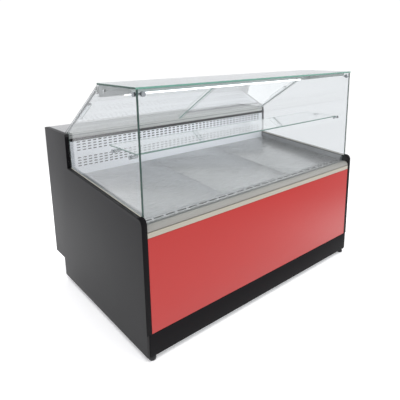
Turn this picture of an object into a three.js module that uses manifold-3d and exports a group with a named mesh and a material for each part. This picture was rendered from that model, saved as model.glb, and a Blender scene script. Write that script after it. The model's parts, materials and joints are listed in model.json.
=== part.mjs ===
// Flat-glass refrigerated serve-over display counter with a built-in condensing unit.
// Frame: X along the counter, Y from the customer's side to the server's side, Z up from the
// floor, in millimetres. Inside the counter group Y is counted from the front face, and the
// group is then moved back by half the depth, so that the origin is the centre of the base.

import * as THREE from 'three';
import { mergeVertices } from 'three/addons/utils/BufferGeometryUtils.js';
import Module from 'manifold-3d';

const wasm = await Module();
wasm.setup();

// ---------------------------------------------------------------- driving dimensions
const width = 1500;
const depth = 1020;
const height = 1163;
const clearance = 0.3;          // gap between pieces that touch

const endThickness = 25;        // end panels
const skirtHeight = 25;         // floor to the underside of panels and plinth
const worktopHeight = 883;
const worktopThickness = 26;
const bodyFront = 727;          // front edge of the tall rear body
const plinthTop = 131.7;
const panelTop = 564;           // top of the coloured front panel
const slopeFront = 645;         // height of the end panels' sloping edge at the front
const slopeRear = 702;          // and where it meets the rear body
const kickDepth = 124;          // toe recess on the server's side
const kickHeight = 131;
const edgeStrip = 2.7;          // black edge strips

const glass = 8;                // outer panes
const frontGlassY = 27;
const sideGlassX = 722;         // inner face of the side panes
const topGlassRear = 351;
const doorFoot = 773;           // where the rear door plane meets the worktop height
const shelfTop = 893;

const wellFloor = 465;          // underside of the insulated well
const wellWall = 30;
const deckDrop = 38;            // deck trays lie this far below the sloping edge
const innerX = width / 2 - endThickness - clearance;   // inside the end panels
const paneX = sideGlassX - clearance;                  // inside the side panes

// ---------------------------------------------------------------- finishes
function finish(color, roughness, metalness = 0, opacity = 1) {
  return new THREE.MeshStandardMaterial({
    color, roughness, metalness, opacity, transparent: opacity < 1,
  });
}
const graphitePaint = finish(0x4d4d4f, 0.55);
const blackTrim = finish(0x2c2b2e, 0.5);
const redPaint = finish(0xc74b47, 0.4);
const greyExtrusion = finish(0xbfc0be, 0.4, 0.3);
const beigeTrim = finish(0xc8c4b8, 0.5);
const stainless = finish(0xc5c5c5, 0.35, 0.9);
const whiteEnamel = finish(0xe6e8f2, 0.4);
const clearGlass = finish(0xbfd8d0, 0.05, 0, 0.3);
const aluminium = finish(0xb9bcbb, 0.4, 0.8);
const lampDiffuser = finish(0xffffff, 0.3);
const chromed = finish(0xd0d2d3, 0.15, 1);
const galvanised = finish(0x9aa0a3, 0.5, 0.8);
const blackPlastic = finish(0x1c1c1e, 0.5);
const copperCoil = finish(0xb8794f, 0.4, 0.9);

// ---------------------------------------------------------------- solids
function toSolid(geometry) {
  const bare = geometry.index ? geometry.toNonIndexed() : geometry.clone();
  bare.deleteAttribute('normal');
  bare.deleteAttribute('uv');
  const merged = mergeVertices(bare, 1e-4);
  return new wasm.Manifold(new wasm.Mesh({
    numProp: 3,
    vertProperties: new Float32Array(merged.attributes.position.array),
    triVerts: new Uint32Array(merged.index.array),
  }));
}

function toGeometry(solid) {
  const mesh = solid.getMesh();
  const geometry = new THREE.BufferGeometry();
  geometry.setAttribute('position', new THREE.BufferAttribute(mesh.vertProperties, 3));
  geometry.setIndex(new THREE.BufferAttribute(mesh.triVerts, 1));
  geometry.computeVertexNormals();
  return geometry;
}

const join = (first, ...rest) =>
  toGeometry(rest.reduce((sum, next) => sum.add(toSolid(next)), toSolid(first)));
const cut = (first, ...tools) =>
  toGeometry(tools.reduce((rest, tool) => rest.subtract(toSolid(tool)), toSolid(first)));

// Box from its low and high limits along each axis.
function box([x0, x1], [y0, y1], [z0, z1]) {
  const geometry = new THREE.BoxGeometry(x1 - x0, y1 - y0, z1 - z0);
  return geometry.translate((x0 + x1) / 2, (y0 + y1) / 2, (z0 + z1) / 2);
}

// Outline of [y, z] points, carried along X from x0 to x1.
const yzToWorld = new THREE.Matrix4().makeBasis(
  new THREE.Vector3(0, 1, 0), new THREE.Vector3(0, 0, 1), new THREE.Vector3(1, 0, 0));
function prism(points, x0, x1) {
  const shape = new THREE.Shape(points.map(([y, z]) => new THREE.Vector2(y, z)));
  const geometry = new THREE.ExtrudeGeometry(shape, { depth: x1 - x0, bevelEnabled: false });
  return geometry.applyMatrix4(yzToWorld).translate(x0, 0, 0);
}

// Round bar along 'x', 'y' or 'z' from one coordinate to another, its centre given by the two
// remaining coordinates in X, Y, Z order.
function rod(axis, radius, from, to, [a, b], segments = 24) {
  const geometry = new THREE.CylinderGeometry(radius, radius, to - from, segments);
  const middle = (from + to) / 2;
  if (axis === 'x') return geometry.rotateZ(-Math.PI / 2).translate(middle, a, b);
  if (axis === 'y') return geometry.translate(a, middle, b);
  return geometry.rotateX(Math.PI / 2).translate(a, b, middle);
}

// Solid of revolution about Z from [radius, height] points that start and end on the axis.
function turned(points, segments = 24) {
  const profile = points.map(([r, z]) => new THREE.Vector2(r, z));
  return new THREE.LatheGeometry(profile, segments).rotateX(Math.PI / 2);
}

// Round arc of [y, z] points about a centre, angles in degrees from +Y towards +Z.
function arc([y, z], radius, from, to, steps = 6) {
  return Array.from({ length: steps + 1 }, (_, i) => {
    const angle = THREE.MathUtils.degToRad(from + (to - from) * i / steps);
    return [y + radius * Math.cos(angle), z + radius * Math.sin(angle)];
  });
}

// Height of the end panels' sloping edge at a distance from the front.
const slopeAngle = Math.atan2(slopeRear - slopeFront, bodyFront);
const slopeAt = (y) => slopeFront + y * Math.tan(slopeAngle);

// Rear door plane: s runs down the slope from the top pane's rear edge, d is the distance in
// from the plane towards the customer.
const glassTopZ = height - glass;
const doorAngle = Math.atan2(glassTopZ - worktopHeight, doorFoot - topGlassRear);
const doorPoint = (s, d) => [
  topGlassRear + s * Math.cos(doorAngle) - d * Math.sin(doorAngle),
  glassTopZ - s * Math.sin(doorAngle) - d * Math.cos(doorAngle),
];
const doorBar = ([s0, s1], [d0, d1], x0, x1) =>
  prism([doorPoint(s0, d0), doorPoint(s0, d1), doorPoint(s1, d1), doorPoint(s1, d0)], x0, x1);

// ---------------------------------------------------------------- assembly
const counter = new THREE.Group();
counter.position.y = -depth / 2;

function piece(name, geometry, material, parent = counter) {
  const mesh = new THREE.Mesh(geometry, material);
  mesh.name = name;
  parent.add(mesh);
  return mesh;
}
const sides = [['left', -1], ['right', 1]];
const span = (side, near, far) => (side < 0 ? [-far, -near] : [near, far]);

// ---------------------------------------------------------------- end panels and edge strips
const cornerRadius = 25;
const stripFoot = 35;           // how far the front strip wraps back over the slope
const cornerCentre = [edgeStrip + cornerRadius, slopeAt(edgeStrip + cornerRadius) - cornerRadius];
const endOutline = [
  [edgeStrip, skirtHeight],
  [depth - kickDepth, skirtHeight],
  [depth - kickDepth, kickHeight],
  [depth, kickHeight],
  [depth, worktopHeight],
  [bodyFront + edgeStrip, worktopHeight],
  [bodyFront + edgeStrip, slopeAt(bodyFront + edgeStrip)],
  ...arc(cornerCentre, cornerRadius, 90, 180),
];
const stripInner = arc(cornerCentre, cornerRadius + clearance, 90, 180);
const stripOuter = arc(cornerCentre, cornerRadius + edgeStrip, 180, 90);
const frontStripOutline = [
  [stripFoot, slopeAt(stripFoot) + clearance],
  ...stripInner,
  [edgeStrip - clearance, plinthTop + clearance],
  [0, plinthTop + clearance],
  ...stripOuter,
  [stripFoot, slopeAt(stripFoot) + edgeStrip],
];
const upperStripTop = 868;
const stripLift = 2;            // upper strip above the slope
for (const [name, side] of sides) {
  const across = span(side, width / 2 - endThickness, width / 2);
  piece(`${name}_end_panel`, prism(endOutline, ...across), graphitePaint);
  piece(`${name}_front_edge_strip`, prism(frontStripOutline, ...across), blackTrim);
  const upper = box(across, [bodyFront, bodyFront + edgeStrip - clearance],
    [slopeAt(bodyFront) + stripLift, upperStripTop]);
  piece(`${name}_upper_edge_strip`, upper, blackTrim);
}

// ---------------------------------------------------------------- plinth, front panel and rail
const plinthInset = 12;
const plinthX = width / 2 - plinthInset;
const plinthBlank = box([-plinthX, plinthX], [0, edgeStrip - clearance], [skirtHeight, plinthTop]);
piece('plinth', plinthBlank, blackTrim);

const hem = 18;                 // depth of the folded edges of the front panel
const sheet = 1.5;
const jointGap = 1;             // open joints between the front's stacked parts
const panelBottom = plinthTop + 1.3;
const frontBlank = box([-innerX, innerX], [0, hem], [panelBottom, panelTop]);
const frontHollow = box([-innerX + sheet, innerX - sheet], [sheet, hem + 1],
  [panelBottom + sheet, panelTop - sheet]);
piece('front_panel', cut(frontBlank, frontHollow), redPaint);

const trimTop = 587;
const trimThickness = 5;
const trimBand = box([-innerX, innerX], [0, trimThickness], [panelTop + jointGap, trimTop]);
piece('front_trim_band', trimBand, beigeTrim);

const railTop = 613;
const railRear = 44;
const glassFoot = 601;          // bottom of the front pane in the rail
const seatGap = 0.5;            // round the pane's foot
const railSkin = 3;
const railNose = [[0.8, 5], [1, 9], [4, 15], [9, 20.5], [16, 24]];  // [y, height over the band]
const railLip = trimThickness + 0.6;
const seatY = [frontGlassY - seatGap, frontGlassY + glass + seatGap];
const railOutline = [
  [railLip, panelTop + jointGap], [railLip, trimTop + jointGap],
  ...railNose.map(([y, rise]) => [y, trimTop + rise]), [seatY[0], railTop],
  [seatY[0], glassFoot - seatGap], [seatY[1], glassFoot - seatGap],
  [seatY[1], railTop], [railRear, railTop], [railRear, panelTop + jointGap],
];
const railHollow = box([-width, width], [railLip + railSkin + 0.4, railRear - railSkin],
  [panelTop + jointGap + railSkin, trimTop + 10]);
piece('front_rail', cut(prism(railOutline, -innerX, innerX), railHollow), greyExtrusion);

// ---------------------------------------------------------------- insulated well
const wellFront = 46;
const wellRear = 795;
const wellTop = 850;
const endSheetDrop = 8;         // the well's end walls stop this far below the sloping edge
const ledge = 588;              // above this the well's walls are a single thin sheet
const thinWall = 2;
const grilleSeat = 602;
const drain = [630, 470];        // straight above the condensate tray
const drainRadius = 15;
const wellOutline = [
  [wellFront, wellFloor], [wellRear, wellFloor], [wellRear, wellTop],
  [bodyFront, wellTop], [bodyFront, slopeAt(bodyFront) - endSheetDrop],
  [wellFront, slopeAt(wellFront) - endSheetDrop],
];
const insideX = [-innerX + thinWall, innerX - thinWall];
const coldX = [-innerX + wellWall, innerX - wellWall];
const coldWell = cut(
  prism(wellOutline, -innerX, innerX),
  box(insideX, [wellFront + thinWall, wellRear - wellWall], [ledge, height]),
  box(insideX, [wellFront - 1, wellFront + wellWall], [grilleSeat, height]),
  box(coldX, [wellFront + wellWall, wellRear - wellWall], [wellFloor + wellWall, height]),
  rod('z', drainRadius, wellFloor - 1, wellFloor + wellWall + 1, drain),
);
piece('cold_well', coldWell, stainless);

// ---------------------------------------------------------------- air return grille and deck
const grilleRear = 84;
const trayFront = grilleRear + 2;
const trayRear = 714;
const grilleTop = slopeAt(grilleRear) - deckDrop;
const grilleFoot = [592, 594];  // flange the deck trays stand on
const flangeDepth = 20;
const grilleOutline = [
  [wellFront + 0.5, grilleTop - sheet], [grilleRear - sheet, grilleTop - sheet],
  [grilleRear - sheet, grilleFoot[0]], [grilleRear + flangeDepth, grilleFoot[0]],
  [grilleRear + flangeDepth, grilleFoot[1]], [grilleRear, grilleFoot[1]],
  [grilleRear, grilleTop], [wellFront + 0.5, grilleTop],
];
const grilleSlots = 24;
const slotPitch = 2 * paneX / grilleSlots;
const slotHalf = 24;
const slotY = [58, 70];
const slotTools = Array.from({ length: grilleSlots }, (_, i) => {
  const middle = -paneX + (i + 0.5) * slotPitch;
  return box([middle - slotHalf, middle + slotHalf], slotY, [grilleTop - 5, grilleTop + 5]);
});
piece('air_return_grille', cut(prism(grilleOutline, -paneX, paneX), ...slotTools), stainless);

const trayCount = 3;
const trayGap = 0.8;
const trayWidth = (2 * paneX - (trayCount - 1) * trayGap) / trayCount;
const trayRearFoot = 644.5;
const trayHeel = 20;            // flat part of a tray's rear foot
const belowTrays = 4.5;         // the hollow is cut out past the trays' lower edge
const trayFrontFoot = grilleFoot[1] + 0.5;
const trayOuter = [
  [trayFront, trayFrontFoot], [trayRear - trayHeel, trayRearFoot], [trayRear, trayRearFoot],
  [trayRear, slopeAt(trayRear) - deckDrop], [trayFront, slopeAt(trayFront) - deckDrop],
];
const trayInner = [
  [trayFront + sheet, trayFrontFoot - belowTrays], [trayRear - sheet, trayRearFoot - belowTrays],
  [trayRear - sheet, slopeAt(trayRear) - deckDrop - sheet],
  [trayFront + sheet, slopeAt(trayFront) - deckDrop - sheet],
];
['left', 'centre', 'right'].forEach((name, i) => {
  const x0 = -paneX + i * (trayWidth + trayGap);
  const pan = cut(prism(trayOuter, x0, x0 + trayWidth),
    prism(trayInner, x0 + sheet, x0 + trayWidth - sheet));
  piece(`${name}_deck_tray`, pan, stainless);
});

// ---------------------------------------------------------------- rear air panel
const airPanelFront = 722;
const airPanelTop = 849;
const airPanelSheet = 2;
const airPanelShelf = 22;       // folded forward to carry the trays
const airPanelFoot = trayRearFoot - clearance - airPanelSheet;
const airPanel = prism([
  [airPanelFront - airPanelShelf, airPanelFoot], [airPanelFront + airPanelSheet, airPanelFoot],
  [airPanelFront + airPanelSheet, airPanelTop], [airPanelFront, airPanelTop],
  [airPanelFront, airPanelFoot + airPanelSheet],
  [airPanelFront - airPanelShelf, airPanelFoot + airPanelSheet],
], -paneX, paneX);
piece('rear_air_panel', airPanel, whiteEnamel);

// ---------------------------------------------------------------- evaporator and its fans
const coilZ = [wellFloor + wellWall + 5, 590];
const coilHalf = 420;
const coilY = [430, 650];
const coilEnd = 4;              // thickness of the coil's end plates
const coilEndMargin = 8;        // and how far they stand out past the fins
const coilEnds = sides.map(([, side]) =>
  box(span(side, coilHalf - 1, coilHalf + coilEnd),
    [coilY[0] - coilEndMargin, coilY[1] + coilEndMargin], [coilZ[0] - 4.5, coilZ[1] + 10]));
const evaporator = join(box([-coilHalf, coilHalf], coilY, coilZ), ...coilEnds);
piece('evaporator_coil', evaporator, aluminium);

const fanX = 210;
const fanZ = 554;
const fanPlateY = 378;
const fanPlateHalf = 690;
const fanPlateTop = 612;
const fanPlateSheet = 3;
const fanHole = 56;             // radius of the openings
const armHalf = [60, 6];        // half length and half height of a motor's arm
const motorRadius = 17;
const motorEnd = 32;
const fanShaft = 3;
const plateBlank = box([-fanPlateHalf, fanPlateHalf], [fanPlateY, fanPlateY + fanPlateSheet],
  [wellFloor + wellWall + 0.5, fanPlateTop]);
const fanHoles = [-fanX, fanX].map((x) =>
  rod('y', fanHole, fanPlateY - 1, fanPlateY + fanPlateSheet + 1, [x, fanZ], 32));
const armFront = fanPlateY + fanPlateSheet - 1;
const motorMounts = [-fanX, fanX].flatMap((x) => [
  box([x - armHalf[0], x + armHalf[0]], [armFront, armFront + 5],
    [fanZ - armHalf[1], fanZ + armHalf[1]]),
  rod('y', motorRadius, armFront, fanPlateY + motorEnd, [x, fanZ]),
]);
const motorBores = [-fanX, fanX].map((x) =>
  rod('y', fanShaft + 0.5, fanPlateY - 1, fanPlateY + 18, [x, fanZ], 16));
const fanPlate = cut(join(cut(plateBlank, ...fanHoles), ...motorMounts), ...motorBores);
piece('evaporator_fan_plate', fanPlate, galvanised);

// Axial rotor turning about Y at its own origin: hub, pitched blades and a shaft towards +Y.
const bladePitch = THREE.MathUtils.degToRad(32);
const bladeSheet = 1.6;
const bladeRoot = 3;            // how far a blade reaches into the hub
function rotor(hubRadius, tipRadius, thickness, blades, shaftRadius, shaftLength) {
  const hub = rod('y', hubRadius, 0, thickness, [0, 0]);
  const shaft = rod('y', shaftRadius, thickness - 1, thickness + shaftLength, [0, 0], 16);
  const chord = hubRadius * 1.3;
  const inner = hubRadius - bladeRoot;
  const vanes = Array.from({ length: blades }, (_, i) => {
    const vane = new THREE.BoxGeometry(tipRadius - inner, bladeSheet, chord);
    vane.rotateX(bladePitch).translate((tipRadius + inner) / 2, thickness / 2, 0);
    return vane.rotateY(i * 2 * Math.PI / blades);
  });
  return join(hub, shaft, ...vanes);
}
for (const [name, side] of sides) {
  const fan = piece(`${name}_evaporator_fan`, rotor(20, 51, 20, 5, fanShaft, 17), blackPlastic);
  fan.position.set(side * fanX, fanPlateY - 21, fanZ);
}

// ---------------------------------------------------------------- glass superstructure
const frontGlass = box([-paneX, paneX], [frontGlassY, frontGlassY + glass],
  [glassFoot, glassTopZ - clearance]);
const clampZ = 1136;
const clampY = 45;
const clampX = 699;
const boltRadius = 4;
const boltHole = boltRadius + 0.3;
const clampHoles = sides.map(([, side]) =>
  rod('y', boltHole, frontGlassY - 1, frontGlassY + glass + 1, [side * clampX, clampZ], 16));
piece('front_glass', cut(frontGlass, ...clampHoles), clearGlass);

const topOverhang = 2;
const topX = sideGlassX + glass + topOverhang;
piece('top_glass', box([-topX, topX], [25, topGlassRear], [glassTopZ, height]), clearGlass);

const glazingGap = 3.5;
const sideOutline = [
  [frontGlassY, slopeAt(frontGlassY) + glazingGap],
  [bodyFront - 0.5, slopeAt(bodyFront) + glazingGap],
  [bodyFront - 0.5, worktopHeight + 0.5], [doorFoot - 6, worktopHeight + 0.5],
  [doorFoot - 6, worktopHeight + 4], [topGlassRear, glassTopZ - clearance],
  [frontGlassY, glassTopZ - clearance],
];
const bracketBolt = [289, 1133];
const studPlaces = [['front', 100], ['rear', 245]];
const studRadius = 7;
const shelfThickness = 6;
const studZ = shelfTop - shelfThickness - clearance - studRadius;
for (const [name, side] of sides) {
  const across = span(side, sideGlassX, sideGlassX + glass);
  const through = [across[0] - 1, across[1] + 1];
  const holes = [[clampY, clampZ], bracketBolt, ...studPlaces.map(([, y]) => [y, studZ])];
  const drilled = cut(prism(sideOutline, ...across),
    ...holes.map((place) => rod('x', boltHole, ...through, place, 16)));
  piece(`${name}_side_glass`, drilled, clearGlass);
}

// Corner clamps: pads inside the corner, bolts through both panes and round heads outside.
const padThickness = 5;
const padRadius = 11;
const clampHead = 9.5;          // radius of the round heads
const headHeight = 4;
const clampStem = 6;            // radius of the stems between the pads
const boltTip = 2;              // bolts reach this far into the heads
const rearFace = frontGlassY + glass + clearance;
const outFace = sideGlassX + glass + clearance;
for (const [name, side] of sides) {
  const overFront = [side * clampX, clampZ];
  const overSide = [clampY, clampZ];
  const padStart = paneX - padThickness;
  const clamp = join(
    rod('y', padRadius, rearFace, rearFace + padThickness, overFront),
    rod('y', clampStem, rearFace + padThickness - 1, clampY + clampStem, overFront),
    rod('x', clampStem, ...span(side, clampX - clampStem, padStart + 1), overSide),
    rod('x', clampHead, ...span(side, padStart, paneX), overSide),
    rod('y', boltRadius, frontGlassY - boltTip, rearFace + 1, overFront, 16),
    rod('x', boltRadius, ...span(side, paneX - 1, sideGlassX + glass + boltTip), overSide, 16),
    rod('y', clampHead, frontGlassY - clearance - headHeight, frontGlassY - clearance, overFront),
    rod('x', clampHead, ...span(side, outFace, outFace + headHeight), overSide),
  );
  piece(`${name}_corner_clamp`, clamp, chromed);
}

// Tapered plates inside the side panes carry the lamp housing and the top pane.
const underTop = glassTopZ - 2 * clearance;
const bracketSheet = 3;
const bracketY = [66, 346];
const bracketHead = 7;          // radius of the bolt heads outside
const headSink = 3;             // and their height
const bracketOutline = [
  [bracketY[0], underTop], [bracketY[0], 1136], [325, 1103.5],
  ...arc([334, 1114], 12, 270, 360, 4), [bracketY[1], underTop],
];
for (const [name, side] of sides) {
  const plate = join(
    prism(bracketOutline, ...span(side, paneX - bracketSheet, paneX)),
    rod('x', boltRadius, ...span(side, paneX - 1, sideGlassX + glass + boltTip), bracketBolt, 16),
    rod('x', bracketHead, ...span(side, outFace, outFace + headSink), bracketBolt),
  );
  piece(`${name}_top_bracket`, plate, aluminium);
}

// ---------------------------------------------------------------- lamp and door tracks
const housingX = paneX - bracketSheet - 0.5;
const housingFace = 318;
const housingFoot = 1104;
const housingWall = 2;
const housingRear = [350, 372];  // rear edges of the upper and the lower flange
const housingOutline = [
  [housingFace, underTop], [housingFace, housingFoot], [housingRear[1], housingFoot],
  [housingRear[1], housingFoot + housingWall],
  [housingFace + housingWall, housingFoot + housingWall],
  [housingFace + housingWall, underTop - housingWall],
  [housingRear[0], underTop - housingWall], [housingRear[0], underTop],
];
piece('lamp_housing', prism(housingOutline, -housingX, housingX), aluminium);

const lampHalf = 622;
const lampOutline = [
  [housingFace - clearance, 1120], [housingFace - clearance, 1104.5],
  ...arc([housingFace - 5, 1112.2], 7.7, 270, 90, 8),
];
piece('lamp_tube', prism(lampOutline, -lampHalf, lampHalf), lampDiffuser);

const pane = 5;                 // door panes
const outerPane = [5, 5 + pane];
const innerPane = [15, 15 + pane];
const widen = ([d0, d1]) => [d0 - 1, d1 + 1];
const upperTrack = cut(doorBar([12, 40], [1, 24], -paneX, paneX),
  doorBar([20, 42], widen(outerPane), -width, width),
  doorBar([20, 42], widen(innerPane), -width, width));
piece('upper_door_track', upperTrack, greyExtrusion);

const trackFront = 724;
const trackRear = 780;
const outerFoot = 499;
const innerFoot = 483.5;
const trackBlank = box([-paneX, paneX], [trackFront, trackRear],
  [worktopHeight - worktopThickness, worktopHeight]);
const lowerTrack = cut(trackBlank,
  doorBar([440, outerFoot + 4], widen(outerPane), -width, width),
  doorBar([440, innerFoot + 4], widen(innerPane), -width, width));
piece('lower_door_track', lowerTrack, greyExtrusion);

// ---------------------------------------------------------------- sliding rear doors
const paneTop = 24;
const doorOuterX = 718;
const doorLap = 18;
const pull = [180, 330];        // length of the pull strips down the pane
const pullWide = 24;
const pullEdge = doorOuterX - 6;
const leftDoor = doorBar([paneTop, outerFoot], outerPane, -doorOuterX, doorLap);
piece('left_sliding_pane', leftDoor, clearGlass);
const leftPull = doorBar(pull, [-7, outerPane[0] - 0.2], -pullEdge, -pullEdge + pullWide);
piece('left_pane_pull', leftPull, clearGlass);
const rightDoor = doorBar([paneTop, innerFoot], innerPane, -doorLap, doorOuterX);
piece('right_sliding_pane', rightDoor, clearGlass);
const rightPull = doorBar(pull, [1, innerPane[0] - 0.2], pullEdge - pullWide, pullEdge);
piece('right_pane_pull', rightPull, clearGlass);

// ---------------------------------------------------------------- worktop
const worktop = box([-innerX, innerX], [trackRear + clearance, depth],
  [worktopHeight - worktopThickness, worktopHeight]);
piece('worktop', worktop, stainless);

// ---------------------------------------------------------------- intermediate shelf
const shelfFront = 90;
const shelfRear = 317;
const shelfX = 700;
const studTip = 690;            // the studs reach in under the shelf
const studHead = 9;
piece('shelf', box([-shelfX, shelfX], [shelfFront, shelfRear],
  [shelfTop - shelfThickness, shelfTop]), clearGlass);
for (const [name, side] of sides) {
  for (const [place, y] of studPlaces) {
    const stud = join(
      rod('x', studRadius, ...span(side, studTip, paneX), [y, studZ]),
      rod('x', boltRadius, ...span(side, paneX - 1, sideGlassX + glass + boltTip), [y, studZ], 16),
      rod('x', studHead, ...span(side, outFace, outFace + headSink), [y, studZ]),
    );
    piece(`${name}_${place}_shelf_stud`, stud, chromed);
  }
}

// ---------------------------------------------------------------- base pan and feet
const footInset = [31, 18];     // from the outer side and from the front
const footPlaces = [];
for (const [end, y] of [['front', footInset[1]], ['rear', depth - kickDepth - 24]]) {
  for (const [name, side] of sides) {
    footPlaces.push([`${name}_${end}_foot`, side * (width / 2 - footInset[0]), y]);
  }
}
const panFloor = 60;
const panOutline = [
  [6, 45], [9, 45], [9, panFloor], [889, panFloor], [889, 45], [892, 45], [892, 125],
  [990, 125], [990, 128], [889, 128], [889, panFloor + 3], [6, panFloor + 3],
];
const stemHoles = footPlaces.map(([, x, y]) =>
  rod('z', boltHole, panFloor - 1, panFloor + 4, [x, y], 16));
const glandX = 640;
const glandZ = 95;
const partitionX = [215, 217];
const partition = box(partitionX, [28, 886], [panFloor + 1, wellFloor - 0.5]);
const basePan = cut(join(prism(panOutline, -innerX, innerX), partition), ...stemHoles,
  rod('y', 10.4, 888, 893, [glandX, glandZ]));
piece('base_pan', basePan, galvanised);

const footProfile = [
  [0, 0], [13, 0], [16, 2.5], [17, 7], [16.5, 12], [14, 17], [10, 21], [6, 23], [4, 24],
  [4, 72], [0, 72],
];
for (const [name, x, y] of footPlaces) {
  piece(name, turned(footProfile), blackPlastic).position.set(x, y, 0);
}

// ---------------------------------------------------------------- server's side
const frameY = [965, 991];
const leafY = [999, 1018];
const frameFoot = 128.5;
const frameTop = worktopHeight - worktopThickness - 0.5;
const leafZ = [136, 753];
const leftLeaf = [-721, -258];
const rightLeaf = [-256, 207];
const grilleLeaf = [213, 721];
const hingeInset = 13;
const hingeY = 1008;
const leftHinge = [leftLeaf[0] + hingeInset, hingeY];
const rightHinge = [rightLeaf[1] - hingeInset, hingeY];
const pinRadius = 4;

const frameBlank = box([-innerX, innerX], frameY, [frameFoot, frameTop]);
const stileX = 697;             // inner edge of the frame's outer stiles
const throughFrame = [frameY[0] - 1, frameY[1] + 1];
const openings = [[-stileX, 192], [232, stileX]].map((across) =>
  box(across, throughFrame, [160, 730]));
const wiringGap = box([-stileX, stileX], throughFrame, [766, 836]);
const sill = box([-innerX, innerX], [frameY[1] - 1, leafY[1]], [frameFoot, frameFoot + 5]);
const pinHoles = [leftHinge, rightHinge].map((place) =>
  rod('z', pinRadius + 0.3, frameFoot - 1, frameFoot + 6, place, 16));
const rearFrame = cut(join(cut(frameBlank, ...openings, wiringGap), sill), ...pinHoles);
piece('rear_frame', rearFrame, graphitePaint);

// Storage doors turn on pins that stand out of their top and bottom edges.
const gripHalf = 16;
const gripDepth = 13;
const gripZ = [560, 690];
const gripEdge = 40;            // from the leaf's free edge
function storageDoor(leaf, hinge, gripX) {
  const body = join(
    box(leaf, leafY, leafZ),
    rod('z', pinRadius, leafZ[0] - 6.5, leafZ[0] + 1, hinge, 16),
    rod('z', pinRadius, leafZ[1] - 1, leafZ[1] + 7, hinge, 16),
  );
  const grip = box([gripX - gripHalf, gripX + gripHalf],
    [leafY[1] - gripDepth, leafY[1] + 1], gripZ);
  return cut(body, grip);
}
const leftDoorBody = storageDoor(leftLeaf, leftHinge, leftLeaf[1] - gripEdge);
const rightDoorBody = storageDoor(rightLeaf, rightHinge, rightLeaf[0] + gripEdge);
piece('left_storage_door', leftDoorBody, graphitePaint);
piece('right_storage_door', rightDoorBody, graphitePaint);

// Louvred cover of the condensing unit: a folded sheet with rows of slots.
const louvreRows = 16;
const louvrePitch = 28;
const louvreFoot = 190;
const louvreGap = 10;
const louvreX = [grilleLeaf[0] + 50, grilleLeaf[1] - 50];
const louvreTools = Array.from({ length: louvreRows }, (_, i) => {
  const z = louvreFoot + i * louvrePitch;
  return box(louvreX, [leafY[1] - 3, leafY[1] + 1], [z, z + louvreGap]);
});
const coverBlank = cut(box(grilleLeaf, leafY, leafZ),
  box([grilleLeaf[0] + sheet, grilleLeaf[1] - sheet], [leafY[0] - 1, leafY[1] - sheet],
    [leafZ[0] + sheet, leafZ[1] - sheet]));
piece('machine_cover', cut(coverBlank, ...louvreTools), graphitePaint);

// Control fascia with pockets for the thermostat and the rocker switch.
const fasciaZ = [756, 853];
const controlZ = 805;
const thermostatX = 420;
const switchX = 540;
const rockerHalf = [10, 14];    // half width and half height
const pocketDepth = 14;
const bodyHalf = [35.5, 14.5];  // half width and half height of the thermostat's body
const bezelHalf = [39, 18];
const bodyDepth = 15;
const around = (x, half) => [x - half, x + half];
const fasciaBlank = box([-721, 721], [995, leafY[1]], fasciaZ);
const thermostatPocket = box(around(thermostatX, bodyHalf[0] + 0.5),
  [leafY[1] - bodyDepth - 1, leafY[1] + 1], around(controlZ, bodyHalf[1] + 0.5));
const switchPocket = box(around(switchX, rockerHalf[0] + 1),
  [leafY[1] - pocketDepth, leafY[1] + 1], around(controlZ, rockerHalf[1] + 2));
const topPinHoles = [leftHinge, rightHinge].map((place) =>
  rod('z', pinRadius + 0.3, fasciaZ[0] - 1, fasciaZ[0] + 6, place, 16));
const fascia = cut(fasciaBlank, thermostatPocket, switchPocket, ...topPinHoles);
piece('control_fascia', fascia, graphitePaint);

const bezelFace = leafY[1] + 1.9;
const thermostat = join(
  box(around(thermostatX, bodyHalf[0]), [leafY[1] - bodyDepth, leafY[1] + 1],
    around(controlZ, bodyHalf[1])),
  box(around(thermostatX, bezelHalf[0]), [leafY[1] + clearance, bezelFace],
    around(controlZ, bezelHalf[1])),
);
piece('thermostat', thermostat, blackPlastic);

// Rocker switch: a shallow V face that turns about an axis along X behind it.
const [rockerWide, rockerTall] = rockerHalf;
const rockerSide = [
  [-5, -rockerTall], [4.5, -rockerTall], [2, 0], [4.5, rockerTall], [-5, rockerTall],
];
const rocker = piece('main_switch', prism(rockerSide, -rockerWide, rockerWide), blackPlastic);
rocker.position.set(switchX, leafY[1] - 6, controlZ);
rocker.rotation.x = THREE.MathUtils.degToRad(7);

// Cable gland in the riser of the base pan, inside the toe recess.
const gland = turned([
  [5, 0], [10, 0], [10, 4.3], [15, 4.3], [15, 10], [12, 10], [12, 20], [10, 23], [8, 26],
  [5, 26], [5, 0],
]);
gland.rotateX(-Math.PI / 2).translate(glandX, 888, glandZ);
piece('cable_gland', gland, blackPlastic);

// ---------------------------------------------------------------- condensing unit
const coilX = [262, 548];
const condenserZ = [136, 430];
const condenserY = [900, 940];
piece('condenser_coil', box(coilX, condenserY, condenserZ), copperCoil);

const fanCentre = [(coilX[0] + coilX[1]) / 2, (condenserZ[0] + condenserZ[1]) / 2];
const shroudWall = 3;
const shroudFront = 860;
const shroudMouth = 125;        // radius of the opening round the fan
const strutY = [852, 861];
const strutHalf = 9;
const warmMotor = 32;
const warmShaft = 5;
const inset = ([low, high], wall) => [low + wall, high - wall];
const shroudShell = cut(box(coilX, [shroudFront, condenserY[0] - 0.5], condenserZ),
  box(inset(coilX, shroudWall), [shroudFront + 4, condenserY[0]], inset(condenserZ, shroudWall)),
  rod('y', shroudMouth, shroudFront - 2, shroudFront + 5, fanCentre, 40));
const shroud = cut(
  join(shroudShell,
    box(inset(coilX, 2), strutY, [fanCentre[1] - strutHalf, fanCentre[1] + strutHalf]),
    rod('y', warmMotor, 815, 856, fanCentre)),
  rod('y', warmShaft + 0.5, 838, shroudFront + 2, fanCentre, 16));
piece('condenser_shroud', shroud, galvanised);
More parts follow.
